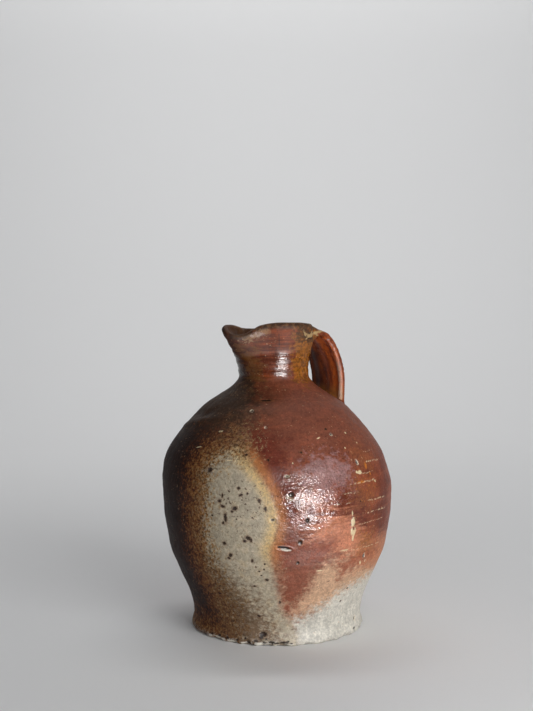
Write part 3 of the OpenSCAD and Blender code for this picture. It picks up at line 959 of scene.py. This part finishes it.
IRON_SPOTS = [
    (199.6, 122.1, 1.7, 1.4, 30), (215.2, 111.7, 0.9, 0.8), (216, 107.3, 1.1, 0.7, 30),
    (219.2, 108.5, 0.6, 0.6), (206.8, 106.1, 0.7, 1), (205.2, 102.5, 1, 0.9), (206.8, 98.9, 1.5, 0.7, -8),
    (212.8, 98.1, 1.5, 1.1, 25), (211.4, 96, 0.8, 0.7), (224.4, 104.1, 0.8, 1, 20), (227.2, 98.5, 0.7, 1.4, 8),
    (208, 91.3, 0.9, 2.5, 6), (206.9, 87.8, 0.8, 0.8), (218.8, 78.6, 1.5, 1.3), (217.2, 76.4, 1.1, 0.8),
    (220.3, 77.4, 0.7, 1.3), (206.8, 73.7, 1.1, 1), (209.6, 65.7, 1, 1.3, -30), (208.6, 63.6, 0.9, 0.7),
    (220.4, 62.9, 0.7, 0.9), (226.4, 60.9, 0.5, 0.5), (227.2, 49.3, 1, 0.7), (220.4, 44.1, 0.9, 0.5),
    (197.6, 35.3, 1.2, 0.8, 20), (221.2, 21.3, 1.3, 0.6, -20), (223.6, 8.1, 2.4, 1.6, 10),
    (243.2, 75.7, 1.3, 1.4), (242.4, 61.7, 0.9, 0.8), (234, 32.1, 0.6, 0.8), (274.4, 28.1, 0.6, 0.6),
    (218, 133, 0.9, 0.6), (246.4, 90.5, 1.1, 1.4, 20), (226, 57, 0.5, 0.5), (223.5, 55.5, 0.6, 0.4),
    (224.5, 52.5, 0.5, 0.4), (222, 58.5, 0.4, 0.4), (229.5, 130, 0.7, 0.7), (246.5, 134.5, 0.7, 0.6),
    (266, 148, 0.9, 0.6), (275, 100, 0.5, 0.5), (224.5, 166.5, 3.4, 0.5), (201, 92, 0.6, 0.5),
    (213.5, 91, 0.4, 0.4), (221, 92.5, 0.4, 0.4),
]
PIT_CORES = [
    (278, 125.7, 0.8, 1.5, 12), (239.2, 107.9, 2.1, 1.7, 20), (230.4, 91.3, 1.3, 0.9),
    (281.6, 60.5, 1, 1.5, -20), (276.8, 37.3, 0.8, 0.8), (286.8, 34.9, 0.9, 1), (296.8, 9.7, 1.3, 1, 30),
    (238.4, 119.7, 1.2, 0.5, 5), (294.4, 3.3, 2.2, 0.8), (215, 160, 1, 0.5), (268, 144.5, 0.7, 0.6),
]
# Pale rings round burst grit. The ring low on the left of the pit at 239 degrees and 108 mm is a painted
# highlight.
PALE_RINGS_AND_HIGHLIGHT = [
    (278, 125.7, 1.4, 2.3, 12), (238.4, 105.8, 2.6, 2.4, 20), (230.4, 91.3, 2, 1.5),
    (238.4, 119.7, 2.2, 1.1, 5), (223.6, 8.1, 3.6, 2.6, 10), (199.6, 121.6, 2.4, 1.9, 30), (215, 160, 1.6, 1),
    (268, 144.5, 1.4, 1.1), (281.6, 60.5, 1.5, 2.1, -20), (296.8, 9.7, 2.1, 1.6, 30), (227, 150, 1.2, 0.9),
]
CREAM_DABS = [
    (270.4, 86.5, 1.7, 3.2), (270.9, 80, 2.4, 3.2, 10), (271.2, 75.6, 0.9, 2.6, 8), (270, 92.5, 0.5, 2),
    (278, 119, 2.2, 1.4), (276, 119.4, 1, 0.9), (288.5, 111.5, 1, 0.9), (258.5, 142.8, 1.4, 0.4, 20),
    (280, 144.5, 0.8, 0.6), (187.5, 135.5, 2.4, 0.4, 14), (209.5, 129, 2.6, 0.35, 8),
    (213, 129.5, 0.4, 2.4, -24), (254, 55, 2.4, 0.5), (279.6, 56, 0.8, 1.6, 30), (283.5, 56.5, 0.6, 1.2),
    (267, 67.5, 3.4, 0.4), (241.5, 128, 0.5, 0.5), (285, 137.5, 0.6, 0.5), (273.5, 135.5, 0.5, 0.5),
    (198, 146.5, 2, 0.5, 10),
]
CREAM_LINES = [
    (292, 124.6, 12, 0.45), (279, 112.4, 14, 0.45), (269, 106.4, 7.5, 0.4), (288, 99.4, 13, 0.45),
    (289, 91, 14, 0.45), (285, 84.4, 17, 0.25), (281, 66.8, 24, 0.3), (292, 131.5, 8, 0.2),
    (264, 99.8, 8, 0.25), (283, 118, 9, 0.2),
]
FORK = [
    (282.2, 211, 1.9, 0.55, -45), (286.5, 209.6, 1.6, 0.7, -20), (291, 209.1, 2.2, 0.8, -3),
    (297, 209, 2.4, 0.8, 3), (303, 209.3, 2.4, 0.7, 8), (289, 207.6, 1.2, 0.45, 30), (300, 211, 1.6, 0.5, 35),
]
ROOT_MARKS = [
    ((11.5, -24.2, 211), 2.2, 0.8, 6), ((15.5, -21.6, 211.6), 2.2, 0.8, 12), ((20.1, -19, 212.4), 2.4, 0.8, 12),
    ((24.5, -18.3, 213.2), 2.4, 0.6, 12), ((22.5, -18.4, 210.9), 1.4, 0.4, -20),
    ((28.5, -17.6, 213.8), 1.6, 0.5, -8),
]
ROOT_WAY = 280.0
CRACKS = [
    (241.6, 206, 0.28, 6, 2), (286, 208.2, 2.4, 0.45, -10), (298, 207.4, 3.6, 0.5, 2),
    (292, 211, 1.6, 0.4, -25), (284.5, 213, 1.4, 0.4, -30), (279.2, 193.6, 0.9, 0.6),
    (303, 211.4, 1.2, 0.4, 20),
]
CRUST_DABS = [
    (229, 2.8, 2.4, 0.9), (232.5, 2.4, 1.8, 0.7), (236, 2.8, 2.6, 0.8, 5), (239, 3.4, 1.2, 0.7, 20),
    (219, 3.4, 1.6, 0.8), (222.5, 6.4, 1.5, 1.2, 30), (199, 3.2, 1.2, 0.8), (192.5, 3.6, 1.4, 0.8),
    (206.5, 2.8, 1, 0.6), (186, 3.4, 1.2, 0.7), (225.5, 5, 0.8, 0.6), (241.5, 2.2, 0.9, 0.5),
    (212, 4.6, 0.8, 0.7),
]
CHIP_DABS = [
    (220.5, 1.4, 3, 1.3), (225.5, 1, 2.2, 0.9), (240.5, 1.2, 2.5, 0.9), (190, 1.8, 2.6, 1.1),
    (196, 1.5, 2.2, 0.9), (203, 1.3, 2.2, 0.9), (210.5, 1.2, 1.8, 0.8), (232, 0.8, 2.6, 0.6),
    (248, 1.2, 3, 0.8), (184, 1.6, 2, 0.9), (258, 0.8, 2.4, 0.6),
]
ORANGE_DABS = [(284, 122.5, 1.2, 2.2), (286, 117, 0.7, 1.2), (277, 112.5, 4.5, 0.9)]
# Painted highlight: pale pink dabs on the near brim, where the rounded lip reflects the light.
SHEEN_DABS = [(207, 213.2, 1.6, 0.9, 8), (211.5, 212.6, 2.6, 1.5), (216.5, 211.6, 2.2, 1.1, -8)]
SLIT_EDGES = [(236.6, 71, 3.6, 1, -6)]
SLIT_CORES = [(235.2, 72.6, 4.4, 1, -7), (237.6, 71.4, 1.6, 0.35, -5)]
DRIP_SCARS = [(270.8, 82.2, 0.8, 1.5, 20)]


def nearest(spots, deep=6.0, ragged=0.5):
    """Distance to the nearest of the spots."""
    away = dab_distance(*spots[0], deep=deep, ragged=ragged)
    for spot in spots[1:]:
        away = maths("MINIMUM", away, dab_distance(*spot, deep=deep, ragged=ragged))
    return away


def dabs(spots, low, high, deep=6.0, ragged=0.5):
    """A factor that is 1 inside any of the spots."""
    return step(nearest(spots, deep, ragged), low, high, 1.0, 0.0)


# Pale rings, one of them a painted highlight on a pit
ring = times(dabs(PALE_RINGS_AND_HIGHLIGHT, 0.75, 1.15, ragged=0.35), step(crust, 0.42, 0.56, 0.15, 0.85))
core = dabs(PIT_CORES, 0.75, 1.10, ragged=0.3)
iron_away = nearest(IRON_SPOTS, ragged=1.0)
iron, rusty = step(iron_away, 0.85, 1.35, 1.0, 0.0), step(iron_away, 1.2, 2.2, 1.0, 0.0)
cream = dabs(CREAM_DABS, 0.75, 1.15, ragged=0.7)
amber = dabs(ORANGE_DABS, 0.4, 1.4, ragged=0.8)
fork_away = nearest(FORK, ragged=1.3)
for centre, wide, tall, roll in ROOT_MARKS:
    fork_away = maths("MINIMUM", fork_away, dab_distance(ROOT_WAY, 0.0, wide, tall, roll, 4.0, 1.3, centre))
fork = times(step(fork_away, 1.1, 1.9, 1.0, 0.0), step(crust, 0.36, 0.48, 0.15, 1.0))
fork = times(fork, maths("SUBTRACT", 1.0, stored("inside")))
sheen = times(dabs(SHEEN_DABS, 0.7, 1.5, ragged=1.3), step(crust, 0.36, 0.54, 0.1, 0.8))
crust_dab = dabs(CRUST_DABS, 0.8, 1.3, ragged=0.9)
chip_dab = dabs(CHIP_DABS, 0.8, 1.2, ragged=0.8)
crack = dabs(CRACKS, 0.6, 1.3, ragged=0.6)
broken = step(noise(2.0, 3, 0.7, shift=61), 0.45, 0.58)
wavy = centred(noise(7.0, 2, shift=71), 2.4)
height_now = maths("ADD", stored("height"), wavy)
cream_line = None
for a, z, wide, thick in CREAM_LINES:
    along = dab_distance(a, z, wide, 5.0, deep=14.0, ragged=0.0)
    beside = maths("ABSOLUTE", maths("SUBTRACT", height_now, z))
    one = times(step(along, 0.8, 1.0, 1.0, 0.0), step(beside, thick * 0.4, thick * 1.6, 1.0, 0.0))
    cream_line = maths("MAXIMUM", cream_line, one) if cream_line else one
cream_line = times(cream_line, broken)
slit_edge = dabs(SLIT_EDGES, 0.75, 1.1, ragged=0.4)
slit_core = dabs(SLIT_CORES, 0.75, 1.1, ragged=0.5)
print("iron spots:", len(IRON_SPOTS), "cream dabs and lines:", len(CREAM_DABS) + len(CREAM_LINES))

# %% Lay the small marks on
# Later marks lie over earlier ones, so the darkest cores come near the end.
grit = noise(1.4, 2, 0.5, shift=81)
specks = times(step(grit, 0.66, 0.72), step(noise(14, 2, shift=91), 0.42, 0.58, 0.1, 1.0))
dark_grit = step(noise(1.5, 2, 0.5, shift=101), 0.64, 0.72)
clean = most([covers["bare_clay"], covers["pale_foot"]])
colour = painted(colour, (60, 30, 18), dark_grit, maths("MULTIPLY_ADD", clean, -0.42, 0.62))
colour = painted(colour, (206, 164, 124), specks, 0.55)
gold_grain = times(covers["neck_gold"], step(noise(2.2, 3, 0.65, shift=171), 0.46, 0.60))
colour = painted(colour, (70, 40, 16), gold_grain, 0.8)
ochre = most([covers["ochre_upper"], covers["ochre_lower"]])
ember = times(ochre, step(noise(1.5, 2, 0.5, shift=201), 0.58, 0.66))
colour = painted(colour, (196, 122, 40), ember, 0.9)
# In this table the brim sheen and one pale ring are painted highlights; the rest are marks of the fire.
for paint, factor, share in (
        ((206, 120, 34), amber, 0.7), ((190, 158, 108), fork, 0.85), ((184, 158, 146), sheen, None),
        ((40, 24, 16), crack, 0.85), ((222, 196, 158), cream_line, 0.75), ((226, 206, 164), cream, 0.9),
        ((206, 192, 166), ring, None), ((104, 62, 30), rusty, 0.6), ((38, 20, 10), iron, 0.95),
        ((66, 58, 52), core, 0.9)):
    colour = painted(colour, paint, factor, share)
halo_specks = step(noise(1.7, 2, 0.6, shift=191), 0.50, 0.62)
halo = times(step(stored("smoke"), -12.0, 3.0), step(stored("smoke"), 8.0, 26.0, 1.0, 0.3))
halo = times(halo, step(stored("smoke_end"), -10.0, 20.0))
colour = painted(colour, (58, 30, 12), halo_specks, times(halo, 0.75))
iron_dust = step(noise(1.7, 2, 0.5, shift=151), 0.61, 0.66)
colour = painted(colour, (70, 38, 18), iron_dust, stored("iron_shower"))
colour = painted(colour, (232, 224, 208), slit_edge)
colour = painted(colour, (28, 22, 20), slit_core)
colour = painted(colour, (120, 62, 40), dabs(DRIP_SCARS, 0.7, 1.2, ragged=0.5))
foot = stored("foot")
flaked = times(step(noise(4.6, 4, 0.7, shift=111), 0.46, 0.54), stored("crust_front"))
colour = painted(colour, (216, 210, 198), foot, flaked)
crusty = times(foot, step(noise(3.6, 4, 0.7, shift=121), 0.53, 0.58))
colour = painted(colour, (36, 24, 18), crusty, stored("crust_front"))
colour = painted(colour, (222, 216, 204), chip_dab, 0.9)
colour = painted(colour, (34, 20, 12), crust_dab, 0.92)
# Painted shade, darker where the relief is cut in
colour = painted(colour, (60, 40, 30), step(stored("hollow"), 0.45, 1.1, 0.0, 0.35))

# %% [markdown]
# ## Gloss and small relief
# Salt and ash melt to a skin like orange peel that shines; bare clay stays
# dry. So roughness follows the zones: the belly's right, the foot of the neck
# and the strap shine, the bare, smoked and olive places are dull. The bump is
# small: peel and pimples everywhere, turning lines, finer threads on the
# neck, and cream dribbles that stand a little proud.

# %% Roughness and bump
def blend(low, high, factor):
    """One number laid over another."""
    return node("Mix", {0: factor, 2: low, 3: high}).outputs[0]


dry = most([covers["bare_clay"], covers["pale_foot"], times(covers["peach"], 0.6), foot])
# Roughness from 0 to 1, later places over earlier ones
rough = step(stored("shiny"), 0.15, 0.70, 0.44, 0.13)
rough = blend(rough, 0.52, covers["mauve_shoulder"])
rough = blend(rough, 0.62, most([covers["olive_shoulder"], smoke, dry]))
rough = blend(rough, 0.74, neck)
rough = blend(rough, 0.20, times(neck, step(stored("height"), 196.0, 202.0, 0.9, 0.0)))
rough = blend(rough, 0.08, stored("strap"))
rough = blend(rough, 0.50, stored("strap_inner"))
rough = blend(rough, 0.6, stored("lip"))
rough_value = maths("ADD", rough, step(mottled, 0.3, 0.7, -0.05, 0.05))
calm = maths("MULTIPLY_ADD", neck, -0.3, 1.0)
peel = times(noise(3.2, 3, 0.55, shift=131), step(dry, 0.2, 0.9, 0.34, 0.42))
pimples = times(noise(1.15, 2, 0.6, shift=211), maths("MULTIPLY_ADD", stored("shiny"), 0.24, 0.15))
fine = times(maths("ADD", peel, pimples), calm)
thread = noise(1.4, 3, 0.6, stretch=(7, 7, 1), shift=231)
wheel = times(turned, maths("MULTIPLY_ADD", neck, 0.16, 0.14))
wheel = maths("MULTIPLY_ADD", thread, times(neck, 0.18), wheel)
relief = maths("ADD", fine, wheel)
relief = maths("ADD", relief, times(most([cream, cream_line, fork]), 0.14))
bump = node("Bump", {"Strength": 1.0, "Distance": 0.001, "Height": relief}).outputs[0]
shader = node("BsdfPrincipled", {"Base Color": colour, "Roughness": rough_value, "IOR": 1.5,
                                 "Specular IOR Level": 0.16, "Normal": bump})
node("OutputMaterial", (shader.outputs[0],))
joined.materials.clear()
joined.materials.append(clay)
for polygon in joined.polygons:
    polygon.material_index = 0
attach(jug, "root")
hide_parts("jug")
print("nodes in the clay:", len(nodes))

# %% [markdown]
# ## A plain studio
# A pale sweep runs from under the jug up behind it, so no edge cuts the
# view. A broad soft lamp to the right stands for a window. A small low card
# that only the gloss sees gives the short bright patches on belly and neck,
# a weak fill from the left that only the matt colour sees lifts the dark
# flank, and a lamp above lights the backdrop. The world fills in.

# %% Floor and backdrop
CAMERA_AT = np.array([-0.4754, -0.6179, 0.2319])
LOOKING = np.array([0.6012, 0.7978, -0.0462])
PAPER, PAPER_UNEVEN = (236, 236, 236), 4


def plain(name, shade):
    """A dry, slightly uneven paper or plaster surface."""
    paper = bpy.data.materials.new(name)
    paper.use_nodes = True
    tree = paper.node_tree
    surface = tree.nodes["Principled BSDF"]
    surface.inputs["Roughness"].default_value = 0.9
    surface.inputs["Specular IOR Level"].default_value = 0.1
    soft = tree.nodes.new("ShaderNodeTexNoise")
    soft.inputs["Scale"].default_value = 3.0
    mix = tree.nodes.new("ShaderNodeMix")
    mix.data_type = "RGBA"
    mix.inputs[6].default_value = tone(*shade)
    mix.inputs[7].default_value = tone(*(v - PAPER_UNEVEN for v in shade))
    tree.links.new(soft.outputs[0], mix.inputs[0])
    tree.links.new(mix.outputs[2], surface.inputs["Base Color"])
    return paper


SWEEP_WIDE, SWEEP_FRONT, SWEEP_BACK, SWEEP_TALL, SWEEP_ROUND = 3.2, -2.2, 1.6, 2.4, 0.8
path = [(SWEEP_FRONT, 0.0), (SWEEP_BACK - SWEEP_ROUND, 0.0)]
for angle in np.radians(np.linspace(0, 90, 25)):
    path.append((SWEEP_BACK - SWEEP_ROUND * (1 - math.sin(angle)), SWEEP_ROUND * (1 - math.cos(angle))))
path.append((SWEEP_BACK, SWEEP_TALL))
ahead = LOOKING[:2] / np.linalg.norm(LOOKING[:2])
aside = np.array([ahead[1], -ahead[0]])
corners = [(*(ahead * d + aside * s), z) for d, z in path for s in (-SWEEP_WIDE / 2, SWEEP_WIDE / 2)]
strips = [(2 * k, 2 * k + 1, 2 * k + 3, 2 * k + 2) for k in range(len(path) - 1)]
sweep_mesh = bpy.data.meshes.new("paper_sweep")
sweep_mesh.from_pydata(corners, [], strips)
for polygon in sweep_mesh.polygons:
    polygon.use_smooth = True
sweep_mesh.materials.append(plain("pale_paper", PAPER))
sweep = stand("paper_sweep", sweep_mesh)


# %% Lamps
def aimed(thing, at, target):
    """Stand a lamp or the camera at a place, looking at a point."""
    thing.location = at
    ray = Vector(target) - Vector(at)
    thing.rotation_mode = "QUATERNION"
    thing.rotation_quaternion = ray.to_track_quat("-Z", "Y")


def soft_lamp(name, way_deg, off, up, wide, tall, watts, target, matt=True, gloss=True):
    """A lamp the size of a card, lighting the matt colour, the gloss or both."""
    lamp = bpy.data.lights.new(name, "AREA")
    lamp.shape, lamp.size, lamp.size_y, lamp.energy = "RECTANGLE", wide, tall, watts
    thing = stand(name, lamp)
    t = math.radians(way_deg)
    aimed(thing, (off * math.cos(t), off * math.sin(t), up), target)
    thing.visible_camera, thing.visible_diffuse, thing.visible_glossy = False, matt, gloss


# Direction in degrees, distance and height in m, width and height in m, and watts
BELLY_MIDDLE, BACKDROP_MIDDLE = (0, 0, 0.1), (1.0, 1.33, 0.9)
soft_lamp("window_light", 268.0, 1.15, 0.42, 0.8, 0.7, 9.4, BELLY_MIDDLE)
soft_lamp("low_card", 259.0, 0.32, 0.090, 0.13, 0.064, 4.8, BELLY_MIDDLE, matt=False)
soft_lamp("backdrop_lamp", 53.0, 0.55, 1.9, 1.6, 0.5, 18.0, BACKDROP_MIDDLE)
soft_lamp("left_fill", 205.0, 1.6, 0.5, 1.2, 1.0, 0.7, BELLY_MIDDLE, gloss=False)
world = bpy.data.worlds.new("studio_fill")
bpy.context.scene.world = world
world.use_nodes = True
sky = world.node_tree.nodes["Background"].inputs
sky["Color"].default_value, sky["Strength"].default_value = (0.92, 0.95, 1.0, 1.0), 0.13

# %% Camera
lens = bpy.data.cameras.new("photo_view")
lens.lens, lens.sensor_width, lens.sensor_fit = 54.08, 36.0, "AUTO"
camera = stand("photo_view", lens)
aimed(camera, CAMERA_AT.tolist(), (CAMERA_AT + LOOKING).tolist())
bpy.context.scene.camera = camera
bpy.context.scene.view_settings.view_transform = "Standard"
